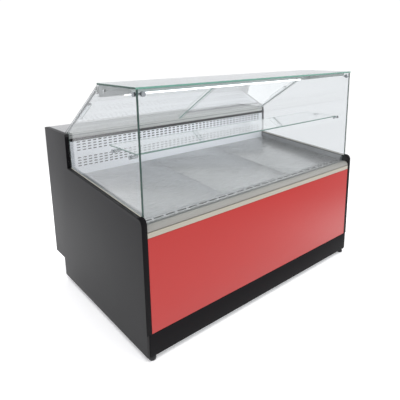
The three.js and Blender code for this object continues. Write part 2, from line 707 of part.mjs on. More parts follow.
const condenserFan = rotor(28, 118, 22, 5, warmShaft, 22).rotateZ(Math.PI);
piece('condenser_fan', condenserFan, blackPlastic).position.set(fanCentre[0], 888, fanCentre[1]);

const compressorAt = [405, 610];
const compressorDome = turned([
  [0, 20], [80, 20], [94, 34], [96, 60], [96, 105], [99, 108], [99, 112], [96, 115],
  [96, 165], [88, 200], [66, 224], [34, 236], [0, 240],
], 32);
const bufferRadius = 11;        // rubber buffers between the two plates
const bufferX = 100;
const bufferY = 90;
const buffers = sides.flatMap(([, across]) => sides.map(([, along]) =>
  rod('z', bufferRadius, 3, 26, [across * bufferX, along * bufferY], 16)));
const compressor = join(
  box([-120, 120], [-110, 110], [0, 4]), ...buffers,
  box([-112, 112], [-100, 100], [25, 29]),
  compressorDome,
  box([-34, 34], [90, 118], [60, 130]),
);
const floorZ = panFloor + 3 + clearance;
piece('compressor', compressor, blackTrim).position.set(...compressorAt, floorZ);

const basinX = [560, 700];
const basinY = [300, 640];
const basinWall = 2;
const basinRim = 115;
const condensateTray = cut(box(basinX, basinY, [floorZ, basinRim]),
  box(inset(basinX, basinWall), inset(basinY, basinWall), [floorZ + basinWall, basinRim + 1]));
piece('condensate_tray', condensateTray, galvanised);

export default counter;
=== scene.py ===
# Refrigerated serve-over display counter with flat glass, a lamp, one glass shelf, a stainless
# worktop and a built-in condensing unit.
import json
import math

import bmesh
import bpy
from mathutils import Matrix, Vector


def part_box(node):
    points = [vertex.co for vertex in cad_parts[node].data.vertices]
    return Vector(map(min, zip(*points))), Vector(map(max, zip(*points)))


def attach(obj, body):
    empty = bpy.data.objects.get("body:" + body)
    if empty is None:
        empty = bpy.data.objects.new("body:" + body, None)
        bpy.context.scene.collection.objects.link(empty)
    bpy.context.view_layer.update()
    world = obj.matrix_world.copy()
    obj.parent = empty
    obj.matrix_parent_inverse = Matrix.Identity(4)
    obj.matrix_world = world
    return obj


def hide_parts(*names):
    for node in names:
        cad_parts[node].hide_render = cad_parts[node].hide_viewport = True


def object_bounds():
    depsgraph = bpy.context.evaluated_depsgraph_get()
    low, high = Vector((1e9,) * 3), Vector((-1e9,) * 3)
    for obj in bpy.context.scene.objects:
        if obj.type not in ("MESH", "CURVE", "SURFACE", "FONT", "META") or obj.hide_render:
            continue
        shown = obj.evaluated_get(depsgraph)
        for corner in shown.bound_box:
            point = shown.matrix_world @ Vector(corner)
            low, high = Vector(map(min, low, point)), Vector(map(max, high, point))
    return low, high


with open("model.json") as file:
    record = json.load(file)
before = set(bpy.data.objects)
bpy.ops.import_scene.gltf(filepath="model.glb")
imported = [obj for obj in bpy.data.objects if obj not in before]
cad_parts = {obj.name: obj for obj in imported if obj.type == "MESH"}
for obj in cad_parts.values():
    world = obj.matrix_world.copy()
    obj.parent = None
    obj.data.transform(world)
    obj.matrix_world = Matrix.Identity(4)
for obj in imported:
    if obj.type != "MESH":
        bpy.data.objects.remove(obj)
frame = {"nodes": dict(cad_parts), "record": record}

MM = 0.001
cad_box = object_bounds()
scene = bpy.context.scene

# ---------------------------------------------------------------- camera, floor and light
# A plain white sweep under large soft lights, seen from standing height off the counter's
# left front corner.
CAMERA_AT = Vector((-1.4978, -1.8079, 1.2920))
YAW, PITCH, ROLL = (math.radians(angle) for angle in (40.34, -12.39, -0.65))
LENS_MM = 36.55
CAMERA_SHIFT = (-0.025, -0.15)
FLOOR_HALF = 40                              # metres from the middle of the sweep to its sides
FADE_FROM, FADE_TO = 1.6, 3.2                # metres out, where the sweep melts into the room


def place_camera():
    """A camera turned by its yaw and pitch, and rolled about the way it looks."""
    ahead = Vector((math.sin(YAW) * math.cos(PITCH), math.cos(YAW) * math.cos(PITCH),
                    math.sin(PITCH)))
    level = Vector((math.cos(YAW), -math.sin(YAW), 0))
    up = level.cross(ahead)
    across = level * math.cos(ROLL) + up * math.sin(ROLL)
    upward = up * math.cos(ROLL) - level * math.sin(ROLL)
    lens = bpy.data.cameras.new("camera")
    lens.lens, lens.sensor_width = LENS_MM, 36
    lens.shift_x, lens.shift_y = CAMERA_SHIFT
    camera = bpy.data.objects.new("camera", lens)
    turn = Matrix((across, upward, -ahead)).transposed().to_4x4()
    camera.matrix_world = Matrix.Translation(CAMERA_AT) @ turn
    scene.collection.objects.link(camera)
    scene.camera = camera


def linear(hex_colour):
    """An sRGB hex colour as the linear RGBA that a shader socket takes."""
    channels = [int(hex_colour[i:i + 2], 16) / 255 for i in (1, 3, 5)]
    return (*[c / 12.92 if c <= 0.04045 else ((c + 0.055) / 1.055) ** 2.4 for c in channels], 1)


def add(tree, kind, inputs=None, **settings):
    """Adds a node, with its settings, and its inputs as values or as sockets to link."""
    made = tree.nodes.new(kind)
    for name, value in settings.items():
        setattr(made, name, value)
    for name, value in (inputs or {}).items():
        if isinstance(value, bpy.types.NodeSocket):
            tree.links.new(value, made.inputs[name])
        else:
            made.inputs[name].default_value = value
    return made


def link_object(name, data):
    made = bpy.data.objects.new(name, data)
    scene.collection.objects.link(made)
    return made


def soft_light(name, at, aim, size, watts, mirrored=False):
    """A square lamp, in metres and watts, that only shows in gloss where it is mirrored."""
    lamp = bpy.data.lights.new(name, "AREA")
    lamp.shape, lamp.size, lamp.energy = "SQUARE", size, watts
    made = link_object(name, lamp)
    made.location = at
    made.rotation_euler = (Vector(aim) - Vector(at)).to_track_quat("-Z", "Y").to_euler()
    made.visible_glossy = mirrored
    made.visible_transmission = False
    return made


def light_the_studio():
    world = bpy.data.worlds.new("studio")
    scene.world = world
    world.use_nodes = True
    tree = world.node_tree
    tree.nodes.clear()
    path = add(tree, "ShaderNodeLightPath")
    room = add(tree, "ShaderNodeBackground", {"Color": linear("#F5F5F8"), "Strength": 1.0})
    backdrop = add(tree, "ShaderNodeBackground", {"Color": linear("#FFFFFF"), "Strength": 1.05})
    seen = add(tree, "ShaderNodeMixShader",
               {0: path.outputs["Is Camera Ray"], 1: room.outputs[0], 2: backdrop.outputs[0]})
    add(tree, "ShaderNodeOutputWorld", {"Surface": seen.outputs[0]})
    soft_light("overhead_softbox", at=(-0.4, -0.9, 3.6), aim=(0, 0, 0.4), size=3.2, watts=75)
    soft_light("right_softbox", at=(3.6, -2.6, 2.2), aim=(0.3, 0, 0.5), size=2.4, watts=29,
               mirrored=True)
    soft_light("rear_softbox", at=(0.4, 3.4, 2.9), aim=(0, 0, 0.5), size=2.8, watts=55)


def lay_floor():
    """Dull white paper that glows a little, so that it stays white up to the counter's shadow."""
    tile = bpy.data.meshes.new("floor")
    turns = ((-1, -1), (1, -1), (1, 1), (-1, 1))
    tile.from_pydata([(FLOOR_HALF * x, FLOOR_HALF * y, 0) for x, y in turns], [], [(0, 1, 2, 3)])
    floor = link_object("floor", tile)
    paper = bpy.data.materials.new("white_paper_sweep")
    paper.use_nodes = True
    tree = paper.node_tree
    shader = tree.nodes["Principled BSDF"]
    shader.inputs["Base Color"].default_value = linear("#F8F8F8")
    shader.inputs["Roughness"].default_value = 0.9
    shader.inputs["Specular IOR Level"].default_value = 0.1
    shader.inputs["Emission Color"].default_value = linear("#FFFFFF")
    shader.inputs["Emission Strength"].default_value = 0.25
    at = add(tree, "ShaderNodeTexCoord").outputs["Object"]
    far = add(tree, "ShaderNodeVectorMath", {0: at}, operation="LENGTH")
    fade = add(tree, "ShaderNodeMapRange", {
        "Value": far.outputs["Value"], "From Min": FADE_FROM, "From Max": FADE_TO}, clamp=True)
    open_air = add(tree, "ShaderNodeBsdfTransparent")
    sweep = add(tree, "ShaderNodeMixShader", {
        0: fade.outputs[0], 1: shader.outputs[0], 2: open_air.outputs[0]})
    tree.links.new(sweep.outputs[0], tree.nodes["Material Output"].inputs["Surface"])
    tile.materials.append(paper)


place_camera()
light_the_studio()
lay_floor()
scene.view_settings.view_transform = "Standard"
scene.cycles.max_bounces = 16
scene.cycles.transmission_bounces = 16
scene.cycles.transparent_max_bounces = 24

# ---------------------------------------------------------------- end panels
# Two casings of folded steel sheet, powder coated in dark graphite. They carry the well and
# the glass, and their corners are rounded by the fold and the coat.
FRONT = cad_box[0].y                         # customer's face of the counter
WELD, FLAT_DEGREES = 0.01, 0.5               # mm and degrees within which corners and faces join
body_of = {node: body for body, nodes in frame["record"]["behaviour"]["bodies"].items()
           for node in nodes}
slot_of = {part["node"]: part["material_slot"] for part in frame["record"]["subparts"]}


def finish(name, colour, roughness, metallic=0.0, grain_mm=(1, 1, 1), relief_mm=0.0,
           drift=0.05, drift_mm=180, gloss_drift=0.06, **shader_inputs):
    """A solid finish: its colour drifts a little over the piece, and a grain of a real size in
    millimetres along each axis gives it relief and uneven gloss."""
    material = bpy.data.materials.new(name)
    material.use_nodes = True
    tree = material.node_tree
    shader = tree.nodes["Principled BSDF"]
    at = add(tree, "ShaderNodeTexCoord").outputs["Object"]
    fine = add(tree, "ShaderNodeMapping", {
        "Vector": at, "Scale": [1 / (MM * size) for size in grain_mm]})
    grain = add(tree, "ShaderNodeTexNoise", {
        "Vector": fine.outputs[0], "Scale": 1.0, "Detail": 2.0, "Roughness": 0.6})
    cloud = add(tree, "ShaderNodeTexNoise", {
        "Vector": at, "Scale": 1 / (MM * drift_mm), "Detail": 3.0, "Roughness": 0.55})
    base = linear(colour)
    shades = [tuple(min(1, c * (1 + sign * drift)) for c in base[:3]) + (1,) for sign in (-1, 1)]
    tint = add(tree, "ShaderNodeMix", {
        "Factor": cloud.outputs["Fac"], 6: shades[0], 7: shades[1]}, data_type="RGBA")
    gloss = add(tree, "ShaderNodeMapRange", {
        "Value": grain.outputs["Fac"], "From Min": 0.3, "From Max": 0.7,
        "To Min": max(0.02, roughness - gloss_drift), "To Max": roughness + gloss_drift})
    tree.links.new(tint.outputs[2], shader.inputs["Base Color"])
    tree.links.new(gloss.outputs[0], shader.inputs["Roughness"])
    shader.inputs["Metallic"].default_value = metallic
    if relief_mm:
        bump = add(tree, "ShaderNodeBump", {
            "Height": grain.outputs["Fac"], "Distance": relief_mm * MM, "Strength": 1.0})
        tree.links.new(bump.outputs[0], shader.inputs["Normal"])
    for key, value in shader_inputs.items():
        shader.inputs[key.replace("_", " ")].default_value = value
    return material


def welded(node):
    """A copy of a CAD piece's mesh with its corners welded and its flat faces made whole."""
    mesh = frame["nodes"][node].data.copy()
    mesh.name = node
    mesh.materials.clear()
    work = bmesh.new()
    work.from_mesh(mesh)
    bmesh.ops.remove_doubles(work, verts=work.verts, dist=WELD * MM)
    bmesh.ops.dissolve_limit(work, angle_limit=math.radians(FLAT_DEGREES), verts=work.verts,
                             edges=work.edges)
    work.to_mesh(mesh)
    work.free()
    return mesh


def fitted(name, mesh, body, slot, *materials, stands_for=()):
    """Links a finished piece, hangs it on its body and hides the CAD pieces that it stands for.
    """
    made = link_object(name, mesh)
    for material in materials:
        mesh.materials.append(material)
    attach(made, body)
    if stands_for:
        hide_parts(*stands_for)
    return made


def ease_edges(made, radius_mm, steps=2, sharper_than=32):
    """Rounds the edges of a piece that are sharper than an angle in degrees."""
    made.data.shade_smooth()
    bevel = made.modifiers.new("eased_edges", "BEVEL")
    bevel.width, bevel.segments = radius_mm * MM, steps
    bevel.limit_method, bevel.angle_limit = "ANGLE", math.radians(sharper_than)
    bevel.harden_normals = True
    return made


def dressed(node, material, radius_mm, steps=2, sharper_than=32):
    """A CAD piece with its edges rounded and its real finish on it."""
    made = fitted(f"{node}_finished", welded(node), body_of[node], slot_of[node], material,
                  stands_for=(node,))
    return ease_edges(made, radius_mm, steps, sharper_than)


# Powder coat is sprayed dry and baked: a fine orange peel of 1 to 2 mm and a dull sheen.
graphite_powder_coat = finish("graphite_powder_coat", "#222223", 0.5, grain_mm=(1.6, 1.6, 1.6),
                              relief_mm=0.02, drift=0.06, Specular_IOR_Level=0.25)
for side in ("left", "right"):
    dressed(f"{side}_end_panel", graphite_powder_coat, 1.5, steps=3)

# ---------------------------------------------------------------- edge strips
# Black extruded strips that close the front edge of each end panel, wrap back over its round
# corner, and run up the edge of the tall rear body.

# Extruded ABS: matt black, with faint draw lines along the strip.
black_extruded_abs = finish("black_extruded_abs", "#100F11", 0.56, grain_mm=(0.8, 0.8, 14),
                            relief_mm=0.01, Specular_IOR_Level=0.08)
for side in ("left", "right"):
    dressed(f"{side}_front_edge_strip", black_extruded_abs, 0.8)
    dressed(f"{side}_upper_edge_strip", black_extruded_abs, 0.6)

# ---------------------------------------------------------------- front panel and plinth
# The coloured front is one folded sheet between the end panels, powder coated in a half gloss
# red. The black plinth below it is a flat strip that clips on over the feet.

# The red coat flows out smoother than the black one, so it has the softer gloss of the two.
red_powder_coat = finish("red_powder_coat", "#AB1A13", 0.36, grain_mm=(1.8, 1.8, 1.8),
                         relief_mm=0.012, drift=0.03, drift_mm=400)
black_powder_coat = finish("black_powder_coat", "#131214", 0.6, grain_mm=(1.6, 1.6, 1.6),
                           relief_mm=0.02, Specular_IOR_Level=0.08)
dressed("front_panel", red_powder_coat, 0.6)
dressed("plinth", black_powder_coat, 0.6)

# ---------------------------------------------------------------- front rail and trim band
# A grey extruded rail with a rounded nose holds the foot of the front pane. A beige band
# covers the joint below it, and soft lips grip the glass on both sides.

# All three keep fine lines or a fine grain from the die, drawn coarser than the real 0.1 mm.
grey_rail_paint = finish("grey_rail_paint", "#8F8E89", 0.48, grain_mm=(40, 0.7, 0.7),
                         relief_mm=0.006)
beige_trim_pvc = finish("beige_trim_pvc", "#A9A496", 0.5, grain_mm=(30, 1, 1), relief_mm=0.006)
grey_sealing_rubber = finish("grey_sealing_rubber", "#85888A", 0.7, grain_mm=(1, 1, 1),
                             relief_mm=0.02)
dressed("front_rail", grey_rail_paint, 0.5, sharper_than=38)
dressed("front_trim_band", beige_trim_pvc, 0.8)


def closed_mesh(name, corners, faces):
    """A mesh from its corners and faces, with every face turned outwards."""
    mesh = bpy.data.meshes.new(name)
    mesh.from_pydata([tuple(c) for c in corners], [], faces)
    work = bmesh.new()
    work.from_mesh(mesh)
    bmesh.ops.remove_doubles(work, verts=work.verts, dist=0.001 * MM)
    bmesh.ops.recalc_face_normals(work, faces=work.faces)
    work.to_mesh(mesh)
    work.free()
    return mesh


def run_along(name, left, right, section):
    """A bar of constant section between two X positions. The section is a list of points as
    millimetres from the front face and above the floor."""
    ends = [[(x * MM, FRONT + y * MM, z * MM) for y, z in section] for x in (left, right)]
    count = len(section)
    sides = [(i, (i + 1) % count, (i + 1) % count + count, i + count) for i in range(count)]
    caps = [tuple(range(count)), tuple(range(count, 2 * count))]
    return closed_mesh(name, ends[0] + ends[1], sides + caps)


def rectangle(y0, y1, z0, z1):
    return [(y0, z0), (y1, z0), (y1, z1), (y0, z1)]


def mm_box(node):
    """A CAD piece's limits as millimetres across, from the front face and above the floor."""
    low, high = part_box(node)
    return [(low.x / MM, high.x / MM), ((low.y - FRONT) / MM, (high.y - FRONT) / MM),
            (low.z / MM, high.z / MM)]


GLASS_GAP, LIP_REACH = 0.1, 2.4              # a lip's two sides, out from the face of the glass
LIP_FOOT, LIP_TOP = 0.05, 1.3                # above the rail
front_pane_x, front_pane_y, _ = mm_box("front_glass")
rail_top = mm_box("front_rail")[2][1]
for name, face, outward in (("outer", front_pane_y[0], -1), ("inner", front_pane_y[1], 1)):
    near, far = sorted((face + outward * GLASS_GAP, face + outward * LIP_REACH))
    lip = run_along(f"{name}_glass_lip", *front_pane_x,
                    rectangle(near, far, rail_top + LIP_FOOT, rail_top + LIP_TOP))
    ease_edges(fitted(f"{name}_glass_lip", lip, "cabinet", "black_edge_trim",
                      grey_sealing_rubber), 0.6)

# ---------------------------------------------------------------- well, return grille and deck
# The insulated well is folded from brushed stainless sheet. Cold air returns through the
# slotted grille behind the front pane, and three lift-out trays make the sloping deck.

# Brushed stainless keeps scratches along the counter, drawn coarser than the real 0.1 mm, and
# its gloss is streaky. The lining of the well is duller and darker.
brushed_stainless = finish("brushed_stainless", "#BDBEBE", 0.3, metallic=0.95,
                           grain_mm=(70, 0.9, 0.9), relief_mm=0.006, drift=0.05,
                           gloss_drift=0.08)
satin_stainless_lining = finish("satin_stainless_lining", "#8B8E90", 0.48, metallic=0.8,
                                grain_mm=(50, 1.2, 1.2), relief_mm=0.006, gloss_drift=0.08)
dressed("cold_well", satin_stainless_lining, 0.6)
dressed("air_return_grille", brushed_stainless, 0.5)
for tray in ("left", "centre", "right"):
    dressed(f"{tray}_deck_tray", brushed_stainless, 0.6)

# ---------------------------------------------------------------- perforated rear air panel
# White enamelled sheet behind the deck, folded forward at its foot. Cold air blows through two
# bands of four rows of punched slots.
SLOT_LONG, SLOT_HIGH, SLOT_PITCH = 20.0, 6.2, 30.1
BAND_FEET, ROWS, ROW_PITCH = (706.5, 791.0), 4, 14.5
SLOT_ROWS = [foot + row * ROW_PITCH for foot in BAND_FEET for row in range(ROWS)]
PLAIN_END = 25.0                             # unpunched margin at each end of the panel
SHEET = 1.2
SEAM, ON_THE_EDGE = 0.05, 0.1                # how close corners are welded, and edges looked for
air_x, air_y, air_z = mm_box("rear_air_panel")


def copies_tree(name):
    """Geometry Nodes: a template object set out on a grid of two steps, welded together."""
    tree = bpy.data.node_groups.new(name, "GeometryNodeTree")
    kinds = {"Template": "Object", "Start": "Vector", "Count A": "Int", "Step A": "Vector",
             "Count B": "Int", "Step B": "Vector", "Weld": "Float", "Finish": "Material"}
    for label, kind in kinds.items():
        tree.interface.new_socket(label, in_out="INPUT", socket_type=f"NodeSocket{kind}")
    tree.interface.new_socket("Geometry", in_out="OUTPUT", socket_type="NodeSocketGeometry")
    given = add(tree, "NodeGroupInput").outputs
    rows = add(tree, "GeometryNodeMeshLine", {
        "Count": given["Count B"], "Start Location": given["Start"], "Offset": given["Step B"]},
        mode="OFFSET")
    row = add(tree, "GeometryNodeMeshLine", {"Count": given["Count A"],
                                             "Offset": given["Step A"]}, mode="OFFSET")
    grid = add(tree, "GeometryNodeInstanceOnPoints", {
        "Points": rows.outputs[0], "Instance": row.outputs[0]})
    points = add(tree, "GeometryNodeRealizeInstances", {"Geometry": grid.outputs[0]})
    shape = add(tree, "GeometryNodeObjectInfo", {"Object": given["Template"]})
    copies = add(tree, "GeometryNodeInstanceOnPoints", {
        "Points": points.outputs[0], "Instance": shape.outputs["Geometry"]})
    real = add(tree, "GeometryNodeRealizeInstances", {"Geometry": copies.outputs[0]})
    welded_up = add(tree, "GeometryNodeMergeByDistance", {
        "Geometry": real.outputs[0], "Distance": given["Weld"]})
    finished = add(tree, "GeometryNodeSetMaterial", {
        "Geometry": welded_up.outputs[0], "Material": given["Finish"]})
    add(tree, "NodeGroupOutput", {"Geometry": finished.outputs[0]})
    return tree


COPIES = copies_tree("copies_on_a_grid")


def set_out(name, template, material, start, count=(1, 1), step_a=(0, 0, 0), step_b=(0, 0, 0),
            weld=0.0):
    """A plain mesh of a template mesh repeated from start, in metres. It comes back without its
    material, which it gets with the others when it is fitted."""
    pattern = link_object(f"{name}_pattern", template)
    carrier = link_object(name, bpy.data.meshes.new(name))
    modifier = carrier.modifiers.new("copies", "NODES")
    modifier.node_group = COPIES
    values = {"Template": pattern, "Start": start, "Count A": count[0], "Step A": step_a,
              "Count B": count[1], "Step B": step_b, "Weld": weld, "Finish": material}
    for item in COPIES.interface.items_tree:
        if item.in_out == "INPUT":
            modifier[item.identifier] = values[item.name]
    evaluated = carrier.evaluated_get(bpy.context.evaluated_depsgraph_get())
    mesh = bpy.data.meshes.new_from_object(evaluated)
    mesh.name = name
    mesh.materials.clear()
    bpy.data.objects.remove(carrier)
    bpy.data.objects.remove(pattern)
    return mesh


def slot_outline(middle, steps=5):
    """Points round a slot with round ends, in a column SLOT_PITCH wide."""
    radius, flat = SLOT_HIGH / 2, (SLOT_LONG - SLOT_HIGH) / 2
    points = []
    for centre, start in ((flat, -90), (-flat, 90)):
        for i in range(steps + 1):
            angle = math.radians(start + 180 * i / steps)
            points.append((centre + radius * math.cos(angle), middle + radius * math.sin(angle)))
    return points


def punched_column():
    """One column of the sheet, as wide as the slots' pitch, with its slots cut out."""
    half = SLOT_PITCH / 2
    corners, faces = [], []
    middles = [z - air_z[0] for z in SLOT_ROWS]
    levels = [0.0]
    for low, high in zip(middles, middles[1:]):
        levels.append((low + high) / 2)
    levels.append(air_z[1] - air_z[0])
    for i, middle in enumerate(middles):
        ring = slot_outline(middle)
        surround = [(half, levels[i]), (half, levels[i + 1]), (-half, levels[i + 1]),
                    (-half, levels[i])]
        base = len(corners)
        corners += ring + surround
        count = len(ring)
        turn = count // 2
        low_right, high_right, high_left, low_left = range(base + count, base + count + 4)
        faces.append((low_right, *range(base, base + turn), high_right))
        faces.append((high_left, *range(base + turn, base + count), low_left))
        faces.append((high_right, base + turn - 1, base + turn, high_left))
        faces.append((low_left, base + count - 1, base, low_right))
    mesh = bpy.data.meshes.new("punched_column")
    mesh.from_pydata([(x * MM, 0, z * MM) for x, z in corners], [], faces)
    return mesh


def air_panel_mesh():
    """The punched columns side by side, with plain ends and the fold along the foot."""
    columns = int((air_x[1] - air_x[0] - 2 * PLAIN_END) // SLOT_PITCH)
    first = -(columns - 1) / 2 * SLOT_PITCH
    start = (first * MM, FRONT + air_y[1] * MM, air_z[0] * MM)
    sheet = set_out("rear_air_panel_sheet", punched_column(), white_enamel, start,
                    (columns, 1), (SLOT_PITCH * MM, 0, 0), weld=SEAM * MM)
    work = bmesh.new()
    work.from_mesh(sheet)
    edge = columns / 2 * SLOT_PITCH * MM
    for sign, end in ((-1, air_x[0] * MM), (1, air_x[1] * MM)):
        rim = [e for e in work.edges if e.is_boundary
               and all(abs(v.co.x - sign * edge) < ON_THE_EDGE * MM for v in e.verts)]
        grown = bmesh.ops.extrude_edge_only(work, edges=rim)
        for vert in (g for g in grown["geom"] if isinstance(g, bmesh.types.BMVert)):
            vert.co.x = end
    foot = [e for e in work.edges if e.is_boundary
            and all(abs(v.co.z - air_z[0] * MM) < ON_THE_EDGE * MM for v in e.verts)]
    lip = bmesh.ops.extrude_edge_only(work, edges=foot)
    for vert in (g for g in lip["geom"] if isinstance(g, bmesh.types.BMVert)):
        vert.co.y = FRONT + air_y[0] * MM
    bmesh.ops.remove_doubles(work, verts=work.verts, dist=SEAM * MM)
    bmesh.ops.recalc_face_normals(work, faces=work.faces)
    work.to_mesh(sheet)
    work.free()
    return sheet


# Stove enamel on steel: a hard, even, slightly blue white with a soft gloss.
white_enamel = finish("white_stove_enamel", "#ECEEF4", 0.32, grain_mm=(3, 3, 3),
                      relief_mm=0.01, drift=0.02)
air_panel = fitted("perforated_air_panel", air_panel_mesh(), "cabinet", "white_enamel",
                   white_enamel, stands_for=("rear_air_panel",))
thickness = air_panel.modifiers.new("sheet", "SOLIDIFY")
thickness.thickness, thickness.offset = SHEET * MM, -1

# A near-black foam sheet behind the slots is painted shade: it darkens the view through them into
# the duct. The door seals share its dark foam finish.
dark_foam_and_painted_shade = finish("dark_foam_and_painted_shade", "#141518", 0.85, grain_mm=(1.2, 1.2, 1.2),
                          relief_mm=0.08)
SHADE_SHEET_GAP, SHADE_SHEET, SHADE_SHEET_INSET, BELOW_SLOTS = 8, 4, 2, 25
shade_sheet_y = air_y[1] + SHADE_SHEET_GAP
shade_sheet = run_along("plenum_baffle", air_x[0] + SHADE_SHEET_INSET, air_x[1] - SHADE_SHEET_INSET,
                   rectangle(shade_sheet_y, shade_sheet_y + SHADE_SHEET, SLOT_ROWS[0] - BELOW_SLOTS,
                             air_z[1] - SHADE_SHEET_INSET))
ease_edges(fitted("plenum_baffle", shade_sheet, "cabinet", "black_edge_trim", dark_foam_and_painted_shade), 0.8)

# ---------------------------------------------------------------- evaporator and its fans
# A fin-and-tube coil under the deck: thin aluminium plates pressed on copper tubes that run
# back and forth through them. Two small axial fans push the air through it.
FIN_THICKNESS = 0.25
BEND_START, TUBE_TAIL = 6, 14                # past the fins: where the bends start, the open ends
SIDE_PLATE, PLATE_GAP = 1.2, 2.8             # the plates' sheet, and their distance from the fins
PLATE_MARGIN, PLATE_BELOW, PLATE_ABOVE = 8, 4, 9    # how far the plates reach past the fins
FOOT_CLEAR, HEAD_CLEAR = 0.5, 1              # what a coil that holds its plates leaves free
# Fin stock is rolled foil and the tubes are drawn, so both have lines along their length. The
# copper browns in patches, and the zinc shows spangles about 20 mm wide.
aluminium_fin_stock = finish("aluminium_fin_stock", "#B4B9BB", 0.42, metallic=0.9,
                             grain_mm=(1, 5, 5), relief_mm=0.01)
drawn_copper = finish("drawn_copper", "#B4764C", 0.32, metallic=0.95, grain_mm=(30, 1, 1),
                      relief_mm=0.004, drift=0.12, drift_mm=60)
galvanised_sheet = finish("galvanised_sheet", "#A3A8AA", 0.45, metallic=0.85,
                          grain_mm=(9, 9, 9), relief_mm=0.01, drift=0.12, drift_mm=22,
                          gloss_drift=0.12)
# Spark-eroded moulds leave nylon with a fine even grain and a low sheen.
moulded_black_nylon = finish("moulded_black_nylon", "#1D1D1F", 0.45, grain_mm=(0.9, 0.9, 0.9),
                             relief_mm=0.015, Specular_IOR_Level=0.4)


def joined(name, parts):
    """One mesh from pairs of a mesh and the number of the material slot that it gets."""
    whole = bmesh.new()
    for part, index in parts:
        first = len(whole.faces)
        whole.from_mesh(part)
        whole.faces.ensure_lookup_table()
        for face in whole.faces[first:]:
            face.material_index = index
    mesh = bpy.data.meshes.new(name)
    whole.to_mesh(mesh)
    whole.free()
    return mesh


def bent_tube(name, route, radius_mm, corners=3):
    """A round tube with closed ends along a list of points in metres."""
    curve = bpy.data.curves.new(name, "CURVE")
    curve.dimensions, curve.bevel_depth, curve.bevel_resolution = "3D", radius_mm * MM, corners
    curve.use_fill_caps = True
    line = curve.splines.new("POLY")
    line.points.add(len(route) - 1)
    for point, at in zip(line.points, route):
        point.co = (*at, 1)
    made = link_object(name, curve)
    evaluated = made.evaluated_get(bpy.context.evaluated_depsgraph_get())
    mesh = bpy.data.meshes.new_from_object(evaluated)
    bpy.data.objects.remove(made)
    mesh.shade_smooth()
    return mesh


def serpentine(left, right, y, levels, bend_steps=6):
    """Points of a tube in metres that goes back and forth along X, up through a list of levels.
    It comes in on the right, and its two limits, its depth and its levels are in mm."""
    route = [(right + TUBE_TAIL, y, levels[0])]
    ends = ((left, -1), (right, 1))
    for i, (low, high) in enumerate(zip(levels, levels[1:])):
        end, outward = ends[i % 2]
        radius, middle = (high - low) / 2, (low + high) / 2
        for k in range(bend_steps + 1):
            angle = math.pi * (k / bend_steps - 0.5)
            route.append((end + outward * radius * math.cos(angle), y,
                          middle + radius * math.sin(angle)))
    end, outward = ends[(len(levels) - 1) % 2]
    route.append((end + outward * TUBE_TAIL, y, levels[-1]))
    return [(x * MM, FRONT + depth * MM, z * MM) for x, depth, z in route]


def finned(node, fin_pitch, tube_radius, tube_rows, tube_levels, holds_plates):
    """Fins, tubes and side plates in the place of a plain CAD coil, as one piece. The coil's
    space holds the plates too, or only the fins between them."""
    (x0, x1), (y0, y1), (z0, z1) = mm_box(node)
    if holds_plates:
        x0, x1 = x0 + PLATE_GAP + SIDE_PLATE, x1 - PLATE_GAP - SIDE_PLATE
        y0, y1 = y0 + PLATE_MARGIN, y1 - PLATE_MARGIN
        z0, z1 = z0 + PLATE_BELOW + FOOT_CLEAR, z1 - PLATE_ABOVE - HEAD_CLEAR
    fin = run_along("fin", 0, FIN_THICKNESS, rectangle(y0, y1, z0, z1))
    count = int((x1 - x0) / fin_pitch) + 1
    fins = set_out(f"{node}_fins", fin, aluminium_fin_stock, (x0 * MM, 0, 0), (count, 1),
                   (fin_pitch * MM, 0, 0))
    parts = [(fins, 0)]
    step = (z1 - z0) / tube_levels
    levels = [z0 + (i + 0.5) * step for i in range(tube_levels)]
    for row in range(tube_rows):
        y = y0 + (row + 0.5) * (y1 - y0) / tube_rows
        route = serpentine(x0 - BEND_START, x1 + BEND_START, y, levels)
        parts.append((bent_tube(f"{node}_tube", route, tube_radius), 1))
    plate_outline = rectangle(y0 - PLATE_MARGIN, y1 + PLATE_MARGIN, z0 - PLATE_BELOW,
                              z1 + PLATE_ABOVE)
    for x in (x0 - PLATE_GAP - SIDE_PLATE, x1 + PLATE_GAP):
        parts.append((run_along("side_plate", x, x + SIDE_PLATE, plate_outline), 2))
    return fitted(f"{node}_finned", joined(f"{node}_finned", parts), body_of[node],
                  slot_of[node], aluminium_fin_stock, drawn_copper, galvanised_sheet,
                  stands_for=(node,))


finned("evaporator_coil", fin_pitch=5.5, tube_radius=4.8, tube_rows=7, tube_levels=4,
       holds_plates=True)
dressed("evaporator_fan_plate", galvanised_sheet, 0.4)
for side in ("left", "right"):
    dressed(f"{side}_evaporator_fan", moulded_black_nylon, 0.4)

# ---------------------------------------------------------------- glass
# Toughened float glass: clear on its faces, and green where its ground and polished edges are
# looked into. The front, side and top panes are 8 mm, the shelf 6 mm, the rear doors 5 mm.
SMEARS = (3, 3, 9)                           # to the metre: about 330 mm long and 110 mm high
ALONG = 0.9                                  # cosine above which two directions count as one


